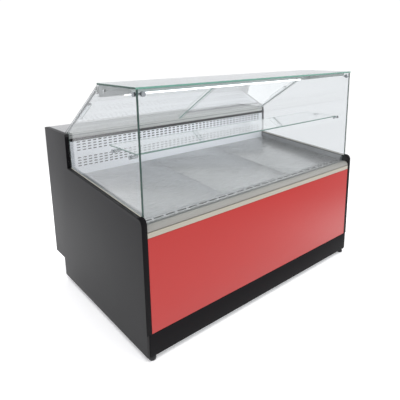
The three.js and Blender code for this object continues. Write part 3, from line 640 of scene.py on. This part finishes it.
def float_glass(name, tint):
    """Clear glass that lets the lamps' light through, with faint smears left by a cloth."""
    material = bpy.data.materials.new(name)
    material.use_nodes = True
    tree = material.node_tree
    shader = tree.nodes["Principled BSDF"]
    shader.inputs["Base Color"].default_value = linear(tint)
    shader.inputs["Transmission Weight"].default_value = 1.0
    shader.inputs["IOR"].default_value = 1.5
    at = add(tree, "ShaderNodeTexCoord").outputs["Object"]
    wiped = add(tree, "ShaderNodeMapping", {"Vector": at, "Scale": SMEARS})
    smear = add(tree, "ShaderNodeTexNoise", {"Vector": wiped.outputs[0], "Detail": 4.0})
    haze = add(tree, "ShaderNodeMapRange", {
        "Value": smear.outputs["Fac"], "From Min": 0.45, "From Max": 0.75,
        "To Min": 0.0, "To Max": 0.02})
    tree.links.new(haze.outputs[0], shader.inputs["Roughness"])
    path = add(tree, "ShaderNodeLightPath")
    passing = add(tree, "ShaderNodeBsdfTransparent", {"Color": linear(tint)})
    both = add(tree, "ShaderNodeMixShader", {
        0: path.outputs["Is Shadow Ray"], 1: shader.outputs[0], 2: passing.outputs[0]})
    tree.links.new(both.outputs[0], tree.nodes["Material Output"].inputs["Surface"])
    return material


# Iron in the glass shows green only along its edges: nearly black green down a whole pane, paler
# across it. The top pane has a faint tint.
clear_float_glass = float_glass("clear_float_glass", "#F8FAFA")
tinted_top_glass = float_glass("tinted_top_glass", "#E8F0EE")
deep_green_edge = finish("deep_green_glass_edge", "#38524B", 0.22, grain_mm=(3, 3, 3),
                         drift=0.12, drift_mm=40, Transmission_Weight=0.3)
pale_green_edge = finish("pale_green_glass_edge", "#74A596", 0.22, grain_mm=(3, 3, 3),
                         drift=0.12, drift_mm=40, Transmission_Weight=0.3)


def glazed(node, glass=clear_float_glass, edge=pale_green_edge, ends=None, arris_mm=0.6):
    """A pane with clear faces, and its narrow edges and holes in the edge finishes. The ends
    are the edges across X, which are looked into along the whole pane."""
    mesh = welded(node)
    through = max(mesh.polygons, key=lambda face: face.area).normal.copy()
    for face in mesh.polygons:
        clear = abs(face.normal.dot(through)) > ALONG
        face.material_index = 0 if clear else 2 if abs(face.normal.x) > ALONG else 1
    made = fitted(f"{node}_glazed", mesh, body_of[node], slot_of[node], glass, edge,
                  ends or edge, stands_for=(node,))
    ease_edges(made, arris_mm, steps=1)
    made.modifiers["eased_edges"].material = 1
    made.modifiers["eased_edges"].harden_normals = False
    mesh.shade_flat()
    return made


for node in ("front_glass", "left_side_glass", "right_side_glass"):
    glazed(node, edge=deep_green_edge)
glazed("top_glass", glass=tinted_top_glass, ends=deep_green_edge)
glazed("shelf")

# ---------------------------------------------------------------- clamps, brackets and studs
# Round chrome clamps join the front pane to the sides, grey plates carry the lamp and the top
# pane, and turned studs through the side panes hold the shelf.

# Chrome plate mirrors almost sharply. The brackets' paint is pale and silky.
bright_chrome = finish("bright_chrome", "#A4A8AB", 0.12, metallic=1.0, grain_mm=(2, 2, 2),
                       drift=0.03, gloss_drift=0.04)
grey_bracket_paint = finish("grey_bracket_paint", "#BFC3C3", 0.42, metallic=0.1,
                            grain_mm=(1.4, 1.4, 1.4), relief_mm=0.012)
for side in ("left", "right"):
    dressed(f"{side}_corner_clamp", bright_chrome, 1.0, steps=3)
    dressed(f"{side}_top_bracket", grey_bracket_paint, 0.6)
    for place in ("front", "rear"):
        dressed(f"{side}_{place}_shelf_stud", bright_chrome, 0.9, steps=3)

# ---------------------------------------------------------------- lamp
# An aluminium channel along the back of the top pane. A strip of light-emitting diodes shines
# down and forward through an opal cover with a plastic cap on each end.
COVER_HIGH = 7.5                             # the cover is the lower part of the profile
GLOW_AHEAD, GLOW_BELOW, GLOW_WIDE, GLOW_WATTS = 4, 6, 20, 2.0
CAP_LONG, CAP_SET_BACK, CAP_SET_UP = 7.0, 0.6, 0.3
# Opal acrylic spreads the light evenly, so that the whole cover glows a cool white.
opal_lamp_cover = finish("opal_lamp_cover", "#FFFFFF", 0.35, grain_mm=(8, 1, 1), drift=0.02,
                         Emission_Color=linear("#F8FBFF"), Emission_Strength=2.4)
dressed("lamp_housing", grey_bracket_paint, 0.5)
lamp_x, lamp_y, lamp_z = mm_box("lamp_tube")
lamp = welded("lamp_tube")
for face in lamp.polygons:
    is_end = abs(face.normal.x) > ALONG
    is_cover = face.center.z < (lamp_z[0] + COVER_HIGH) * MM and not is_end
    face.material_index = 1 if is_cover else 0
ease_edges(fitted("lamp_tube_finished", lamp, body_of["lamp_tube"], slot_of["lamp_tube"],
                  grey_bracket_paint, opal_lamp_cover, stands_for=("lamp_tube",)), 0.3,
           sharper_than=40)
glow = soft_light("lamp_glow", size=(lamp_x[1] - lamp_x[0]) * MM, watts=GLOW_WATTS,
                  at=(0, FRONT + (lamp_y[0] - GLOW_AHEAD) * MM, (lamp_z[0] - GLOW_BELOW) * MM),
                  aim=(0, FRONT + air_y[0] * MM, air_z[0] * MM))
glow.data.shape, glow.data.size_y = "RECTANGLE", GLOW_WIDE * MM
glow.visible_camera = False
for side, start in (("left", lamp_x[0] - CAP_LONG), ("right", lamp_x[1])):
    cap = run_along(f"{side}_lamp_cap", start, start + CAP_LONG,
                    rectangle(lamp_y[0] + CAP_SET_BACK, lamp_y[1], lamp_z[0] + CAP_SET_UP,
                              lamp_z[1]))
    ease_edges(fitted(f"{side}_lamp_cap", cap, "cabinet", "black_plastic",
                      beige_trim_pvc), 2.0, steps=3)

# ---------------------------------------------------------------- door tracks and seals
# Extruded tracks guide the two sliding panes behind the deck. The lower one is also the nose of
# the worktop, with a groove along its face and a black seal against the air panel below it.

# Anodised aluminium has a pale satin skin over its draw lines. Seal rubber is dull and nearly
# black, with a bloom of talc.
pale_anodised_track = finish("pale_anodised_track", "#C3C4C2", 0.36, metallic=0.6,
                             grain_mm=(60, 0.8, 0.8), relief_mm=0.005)
black_seal_rubber = finish("black_seal_rubber", "#29292B", 0.65, grain_mm=(1, 1, 1),
                           relief_mm=0.02, Specular_IOR_Level=0.3)
dressed("upper_door_track", pale_anodised_track, 0.5)
dressed("lower_door_track", pale_anodised_track, 1.2)
nose_x, nose_y, nose_z = mm_box("lower_door_track")
SEAL_LIP, LIP_THICK, LIP_AHEAD = 6.5, 1.5, 3.8   # the lip laps over the panel's top edge
SEAL_GAP, SEAL_UNDER = 0.3, 3.5                  # off its neighbours, and back under the nose
INSERT_PROUD, INSERT_DEEP, INSERT_FOOT, INSERT_TOP = 0.9, 0.1, 10, 6   # down from the nose's top
lip_front, lip_rear = air_y[1] - LIP_AHEAD, air_y[1] - LIP_AHEAD + LIP_THICK
seal_foot, seal_top = air_z[1] + SEAL_GAP, nose_z[0] - SEAL_GAP
seal_rear = nose_y[0] + SEAL_UNDER
seal = run_along("nose_seal", *air_x, [
    (lip_front, air_z[1] - SEAL_LIP), (lip_rear, air_z[1] - SEAL_LIP), (lip_rear, seal_foot),
    (seal_rear, seal_foot), (seal_rear, seal_top), (lip_front, seal_top)])
ease_edges(fitted("nose_seal", seal, "cabinet", "black_edge_trim", black_seal_rubber), 0.9)
insert = run_along("nose_insert", *nose_x,
                   rectangle(nose_y[0] - INSERT_PROUD, nose_y[0] + INSERT_DEEP,
                             nose_z[1] - INSERT_FOOT, nose_z[1] - INSERT_TOP))
ease_edges(fitted("nose_insert", insert, "cabinet", "black_edge_trim", grey_sealing_rubber), 0.4)

# ---------------------------------------------------------------- glazing beads
# A pale bead of sealant closes the gap between the sloping edge of each end panel and the pane
# that stands on it.
SLOPE_START, SLOPE_END = (0, 645), (727, 702)    # the edge of the end panels, front to back
BEHIND_FRONT_PANE, SHORT_OF_BODY = 9, 1          # where a bead starts and stops
BEAD_PAST_GLASS, BEAD_FOOT, BEAD_TOP = 1.5, 0.4, 3.2


def slope_height(y):
    """The height of the end panels' edge at a distance from the front face."""
    (y0, z0), (y1, z1) = SLOPE_START, SLOPE_END
    return z0 + (z1 - z0) * (y - y0) / (y1 - y0)


# Tooled sealant: soft, matt and slightly lumpy, a creamy grey once it has set.
pale_glazing_sealant = finish("pale_glazing_sealant", "#CFCBBE", 0.6, grain_mm=(2, 6, 2),
                              relief_mm=0.03)
for side in ("left", "right"):
    pane_x, pane_y, _ = mm_box(f"{side}_side_glass")
    front, back = pane_y[0] + BEHIND_FRONT_PANE, SLOPE_END[0] - SHORT_OF_BODY
    rise = ((front, BEAD_FOOT), (back, BEAD_FOOT), (back, BEAD_TOP), (front, BEAD_TOP))
    bead = run_along(f"{side}_glazing_bead", pane_x[0] - BEAD_PAST_GLASS,
                     pane_x[1] + BEAD_PAST_GLASS, [(y, slope_height(y) + up) for y, up in rise])
    ease_edges(fitted(f"{side}_glazing_bead", bead, "cabinet", "beige_trim",
                      pale_glazing_sealant), 1.0)

# ---------------------------------------------------------------- sliding rear panes
# Two 5 mm panes slide past each other in the tracks, each with a clear acrylic pull glued to it.
# Soft translucent seals on the side panes close the gap beside them.
DOOR_TOP, DOOR_FOOT = (351, 1155), (773, 883)    # the sloping plane just outside the panes
SEAL_START, SEAL_END, SEAL_THICK = 45, 470, 3.2  # down the slope, and out from the side pane
SEAL_DEPTHS = {"left": (3, 16), "right": (13, 27)}    # in from the plane, beside each pane
# Cast acrylic looks like the glass but has no green in its edges. Soft PVC is milky.
clear_acrylic = float_glass("clear_acrylic", "#F6F8F8")
translucent_seal = finish("translucent_pvc_seal", "#DADDDE", 0.45, grain_mm=(4, 4, 4),
                          drift=0.03, Transmission_Weight=0.6)
door_slope = math.atan2(DOOR_TOP[1] - DOOR_FOOT[1], DOOR_FOOT[0] - DOOR_TOP[0])


def door_point(down, inward):
    """A place in the door plane, from its distance down the slope and in from the plane."""
    return (DOOR_TOP[0] + down * math.cos(door_slope) - inward * math.sin(door_slope),
            DOOR_TOP[1] - down * math.sin(door_slope) - inward * math.cos(door_slope))


for side, sign in (("left", -1), ("right", 1)):
    glazed(f"{side}_sliding_pane", arris_mm=0.5)
    glazed(f"{side}_pane_pull", glass=clear_acrylic, edge=clear_acrylic, arris_mm=1.5)
    side_pane = sign * front_pane_x[1]
    across = sorted((side_pane - sign * SEAL_THICK, side_pane))
    near, far = SEAL_DEPTHS[side]
    section = [door_point(SEAL_START, near), door_point(SEAL_START, far),
               door_point(SEAL_END, far), door_point(SEAL_END, near)]
    strip = run_along(f"{side}_pane_seal", *across, section)
    ease_edges(fitted(f"{side}_pane_seal", strip, "cabinet", "grey_extrusion",
                      translucent_seal), 1.0)

# ---------------------------------------------------------------- worktop
# A folded stainless sheet along the server's side, brushed lengthways.
dressed("worktop", brushed_stainless, 1.5, steps=3)

# ---------------------------------------------------------------- rear frame and storage doors
# The server's side is a welded frame with two hinged leaves. Each leaf is a folded sheet casing
# with a recessed grip and a foam seal round its inner face.
dressed("rear_frame", graphite_powder_coat, 0.8)
HINGE_SIDE, FREE_SIDE, TOP_AND_FOOT = 17, 8, 16  # how far in from the leaf's edges a seal lies
SEAL_WIDE, SEAL_DEEP, SEAL_CLEAR = 9, 6.5, 0.1


def flat_ring(name, x, z, y, width):
    """A rectangular ring in mm, from its outer limits in X and Z, its two faces in Y and its
    width."""
    corners, faces = [], []
    for inset in (0, width):
        for depth in y:
            for cx, cz in ((x[0] + inset, z[0] + inset), (x[1] - inset, z[0] + inset),
                           (x[1] - inset, z[1] - inset), (x[0] + inset, z[1] - inset)):
                corners.append((cx * MM, FRONT + depth * MM, cz * MM))
    for i in range(4):
        k = (i + 1) % 4
        outer_near, outer_far, inner_near, inner_far = 0, 4, 8, 12
        for a, b in ((outer_near, outer_far), (outer_far, inner_far),
                     (inner_far, inner_near), (inner_near, outer_near)):
            faces.append((a + i, a + k, b + k, b + i))
    return closed_mesh(name, corners, faces)


for side in ("left", "right"):
    leaf = f"{side}_storage_door"
    dressed(leaf, graphite_powder_coat, 1.2, steps=3)
    leaf_x, leaf_y, leaf_z = mm_box(leaf)
    hinge_left = side == "left"
    ring_x = (leaf_x[0] + (HINGE_SIDE if hinge_left else FREE_SIDE),
              leaf_x[1] - (FREE_SIDE if hinge_left else HINGE_SIDE))
    ring = flat_ring(f"{side}_door_seal", ring_x,
                     (leaf_z[0] + TOP_AND_FOOT, leaf_z[1] - TOP_AND_FOOT),
                     (leaf_y[0] - SEAL_DEEP, leaf_y[0] - SEAL_CLEAR), SEAL_WIDE)
    ease_edges(fitted(f"{side}_door_seal", ring, body_of[leaf], "black_edge_trim",
                      dark_foam_and_painted_shade), 2.5, steps=3)

# ---------------------------------------------------------------- louvred machine cover
# A folded cover in front of the condensing unit. Behind every slot a blade bent from the same
# sheet slopes down and out, and button-headed screws hold the corners.
LOUVRES, LOUVRE_PITCH, FIRST_LOUVRE, LOUVRE_MARGIN = 16, 28, 190, 46
BLADE_INNER, BLADE_OUTER = 14, 1.7               # in from the outer face of the cover
BLADE_HIGH, BLADE_LOW, BLADE_SHEET = 13, 0.6, 1.4    # above the foot of its slot, and upright
cover_x, cover_y, _ = mm_box("machine_cover")
dressed("machine_cover", graphite_powder_coat, 0.5)
inner, outer = cover_y[1] - BLADE_INNER, cover_y[1] - BLADE_OUTER
blade_section = [(inner, BLADE_HIGH), (outer, BLADE_LOW), (outer, BLADE_LOW - BLADE_SHEET),
                 (inner, BLADE_HIGH - BLADE_SHEET)]
blade = run_along("louvre_blade", cover_x[0] + LOUVRE_MARGIN, cover_x[1] - LOUVRE_MARGIN,
                  blade_section)
blades = set_out("louvre_blades", blade, graphite_powder_coat, (0, 0, FIRST_LOUVRE * MM),
                 (1, LOUVRES), step_b=(0, 0, LOUVRE_PITCH * MM))
fitted("louvre_blades", blades, "cabinet", "graphite_panel", graphite_powder_coat)


def turned_towards_server(name, profile, sides=16):
    """A turned shape about Y, in metres, from points in mm that start and end on the axis: each
    has a radius and a distance towards the server."""
    corners, faces = [], []
    for k in range(sides):
        angle = 2 * math.pi * k / sides
        corners += [(r * math.cos(angle) * MM, h * MM, r * math.sin(angle) * MM)
                    for r, h in profile]
    count = len(profile)
    for k in range(sides):
        a, b = k * count, (k + 1) % sides * count
        faces += [(a + i, a + i + 1, b + i + 1, b + i) for i in range(count - 1)]
    mesh = closed_mesh(name, corners, faces)
    mesh.shade_smooth()
    return mesh


# Zinc plate is bright and slightly uneven from one screw to the next.
zinc_plated_steel = finish("zinc_plated_steel", "#B9BCBF", 0.3, metallic=1.0,
                           grain_mm=(1, 1, 1), drift=0.08, drift_mm=20)
# Out from the bottom of the socket, over the button and back under its rim.
SCREW_HEAD = [(0, 0.4), (1.5, 0.4), (1.6, 1.5), (2.6, 1.45), (3.5, 0.95), (4, 0.1), (4, -0.4),
              (0, -0.4)]
SCREW_INSET, SCREW_PROUD = 11, 0.1


def corner_screws(name, node):
    """Four button-headed screws on the server's face of a CAD cover."""
    x, y, z = mm_box(node)
    start = ((x[0] + SCREW_INSET) * MM, FRONT + (y[1] + SCREW_PROUD) * MM,
             (z[0] + SCREW_INSET) * MM)
    across, upward = ((high - low - 2 * SCREW_INSET) * MM for low, high in (x, z))
    heads = set_out(name, turned_towards_server(f"{name}_head", SCREW_HEAD), zinc_plated_steel,
                    start, (2, 2), (across, 0, 0), (0, 0, upward))
    fitted(name, heads, "cabinet", "stainless", zinc_plated_steel)


corner_screws("machine_cover_screws", "machine_cover")

# ---------------------------------------------------------------- control fascia
# A pressed fascia with the thermostat and the main switch. The thermostat has a dark window
# and four soft keys in a recessed face.
BEZEL_RIM, BEZEL_RECESS = 3.0, 1.1
WINDOW_START, WINDOW_END, WINDOW_MARGIN, WINDOW_THICK = 6, 44, 9, 0.7
KEYS_FROM_END, KEYS_FROM_FOOT, KEY_STEP_X, KEY_STEP_Z = 22, 11.5, 12, 13
KEY = [(0, 0.9), (1.8, 0.8), (2.9, 0.4), (3.1, -0.2), (0, -0.2)]    # domed, from its crown out
# Smoked acrylic is nearly black and polished. Silicone keys are soft and quite matt.
smoked_acrylic = finish("smoked_acrylic", "#161018", 0.08, drift=0.05, gloss_drift=0.03)
grey_silicone_key = finish("grey_silicone_key", "#8C9093", 0.6, grain_mm=(0.8, 0.8, 0.8),
                           relief_mm=0.01)
dressed("control_fascia", graphite_powder_coat, 0.6)
corner_screws("control_fascia_screws", "control_fascia")
dressed("main_switch", moulded_black_nylon, 0.5)

bezel_x, bezel_y, bezel_z = mm_box("thermostat")
bezel = welded("thermostat")
work = bmesh.new()
work.from_mesh(bezel)
face = max((f for f in work.faces if f.normal.y > ALONG),
           key=lambda f: f.calc_center_median().y)
bmesh.ops.inset_region(work, faces=[face], thickness=BEZEL_RIM * MM)
for corner in face.verts:
    corner.co.y -= BEZEL_RECESS * MM
work.to_mesh(bezel)
work.free()
ease_edges(fitted("thermostat_finished", bezel, body_of["thermostat"], slot_of["thermostat"],
                  moulded_black_nylon, stands_for=("thermostat",)), 0.5)
recess = bezel_y[1] - BEZEL_RECESS
window = run_along("thermostat_window", bezel_x[0] + WINDOW_START, bezel_x[0] + WINDOW_END,
                   rectangle(recess, recess + WINDOW_THICK, bezel_z[0] + WINDOW_MARGIN,
                             bezel_z[1] - WINDOW_MARGIN))
ease_edges(fitted("thermostat_window", window, "cabinet", "black_plastic", smoked_acrylic), 0.3)
first_key = ((bezel_x[1] - KEYS_FROM_END) * MM, FRONT + recess * MM,
             (bezel_z[0] + KEYS_FROM_FOOT) * MM)
keys = set_out("thermostat_keys", turned_towards_server("key", KEY, sides=20), grey_silicone_key,
               first_key, (2, 2), (KEY_STEP_X * MM, 0, 0), (0, 0, KEY_STEP_Z * MM))
fitted("thermostat_keys", keys, "cabinet", "black_plastic", grey_silicone_key)

# ---------------------------------------------------------------- base pan and feet
# A galvanised pan closes the underside and carries the machinery. Four black feet with round
# pads screw into it to level the counter, and the mains lead leaves by a gland at the back.
dressed("base_pan", galvanised_sheet, 0.5)
for end in ("front", "rear"):
    for side in ("left", "right"):
        dressed(f"{side}_{end}_foot", moulded_black_nylon, 0.5, sharper_than=50)
dressed("cable_gland", moulded_black_nylon, 0.4, sharper_than=40)

# ---------------------------------------------------------------- condensing unit
# A hermetic compressor, a finned condenser in its shroud, its fan, and the tray that catches
# and evaporates the melt water.

# Baked lacquer on the compressor's shell is black, hard and quite glossy.
black_stove_lacquer = finish("black_stove_lacquer", "#1B1B1D", 0.25, grain_mm=(3, 3, 3),
                             relief_mm=0.01)
finned("condenser_coil", fin_pitch=4.0, tube_radius=4.0, tube_rows=2, tube_levels=10,
       holds_plates=False)
dressed("condenser_shroud", galvanised_sheet, 0.4)
dressed("condenser_fan", moulded_black_nylon, 0.4)
dressed("compressor", black_stove_lacquer, 0.8, sharper_than=50)
dressed("condensate_tray", galvanised_sheet, 0.4)

# ---------------------------------------------------------------- refrigerant pipes
# Copper tubes brazed between the compressor, the condenser, the filter drier and the coil in
# the well. They pass the well's floor in two places, beside the drain.
UNDER_WELL, IN_WELL = 464.5, 495.5           # just below and just above the insulated floor
RISER_X, FEED_X, SUCTION_X = 615, 640, 610   # where the pipes run up
DISCHARGE_X, RETURN_X = 497, 405             # the compressor's two stubs
DISCHARGE_Y, RETURN_Y = 610, 518
DISCHARGE_Z, RETURN_Z = 213, 230
CONDENSER_X, CONDENSER_Z = 566, (150.7, 415)     # its open tube ends, foot and top
CONDENSER_Y = (910, 930)                         # its two rows of tubes
COIL_X, COIL_Y, COIL_Z = 438, (445.7, 634.3), (511.3, 578.8)    # of the coil in the well
DRIER_Y, CAPILLARY_Y, SOCKET = 650, 600, 2       # a pipe goes this far into the drier
# The drier is a tube spun down at both ends to the size of its pipes.
DRIER = [(0, 0), (3.6, 0), (4.5, 12), (11, 26), (11, 88), (4.5, 102), (3.6, 114), (0, 114)]
DRIER_LONG = DRIER[-1][1]
PIPES = {                                        # radius, length of the bends, corners
    "discharge_pipe": (4.0, 25, [(DISCHARGE_X, DISCHARGE_Y, DISCHARGE_Z),
                                 (RISER_X, DISCHARGE_Y, DISCHARGE_Z),
                                 (RISER_X, DISCHARGE_Y, CONDENSER_Z[1]),
                                 (RISER_X, CONDENSER_Y[0], CONDENSER_Z[1]),
                                 (CONDENSER_X, CONDENSER_Y[0], CONDENSER_Z[1])]),
    "liquid_pipe": (3.2, 20, [(CONDENSER_X, CONDENSER_Y[1], CONDENSER_Z[0]),
                              (FEED_X, CONDENSER_Y[1], CONDENSER_Z[0]),
                              (FEED_X, DRIER_Y + DRIER_LONG - SOCKET, CONDENSER_Z[0])]),
    "capillary_pipe": (1.8, 20, [(FEED_X, DRIER_Y + SOCKET, CONDENSER_Z[0]),
                                 (FEED_X, CAPILLARY_Y, CONDENSER_Z[0]),
                                 (FEED_X, CAPILLARY_Y, UNDER_WELL)]),
    "feed_pipe": (3.2, 20, [(FEED_X, COIL_Y[1], IN_WELL), (FEED_X, COIL_Y[1], COIL_Z[1]),
                            (COIL_X, COIL_Y[1], COIL_Z[1])]),
    "coil_outlet_pipe": (4.8, 12, [(COIL_X, COIL_Y[0], COIL_Z[0]),
                                   (SUCTION_X, COIL_Y[0], COIL_Z[0]),
                                   (SUCTION_X, COIL_Y[0], IN_WELL)]),
    "suction_pipe": (4.8, 25, [(SUCTION_X, COIL_Y[0], UNDER_WELL),
                               (SUCTION_X, COIL_Y[0], RETURN_Z),
                               (RETURN_X, COIL_Y[0], RETURN_Z),
                               (RETURN_X, RETURN_Y, RETURN_Z)]),
}


def with_bends(corners, radius, steps=5):
    """Points along a pipe in metres, its corners in mm rounded from a distance before each."""
    corners = [Vector((x * MM, FRONT + y * MM, z * MM)) for x, y, z in corners]
    route = [corners[0]]
    for before, corner, after in zip(corners, corners[1:], corners[2:]):
        back = (before - corner).normalized() * radius * MM
        onward = (after - corner).normalized() * radius * MM
        for i in range(steps + 1):
            part = i / steps
            route.append(corner + back * (1 - part) ** 2 + onward * part ** 2)
    return route + [corners[-1]]


for name, (radius, bend, corners) in PIPES.items():
    fitted(name, bent_tube(name, with_bends(corners, bend), radius), "cabinet", "coil_fins",
           drawn_copper)
drier = turned_towards_server("filter_drier", DRIER)
drier.transform(Matrix.Translation((FEED_X * MM, FRONT + DRIER_Y * MM, CONDENSER_Z[0] * MM)))
fitted("filter_drier", drier, "cabinet", "coil_fins", drawn_copper)
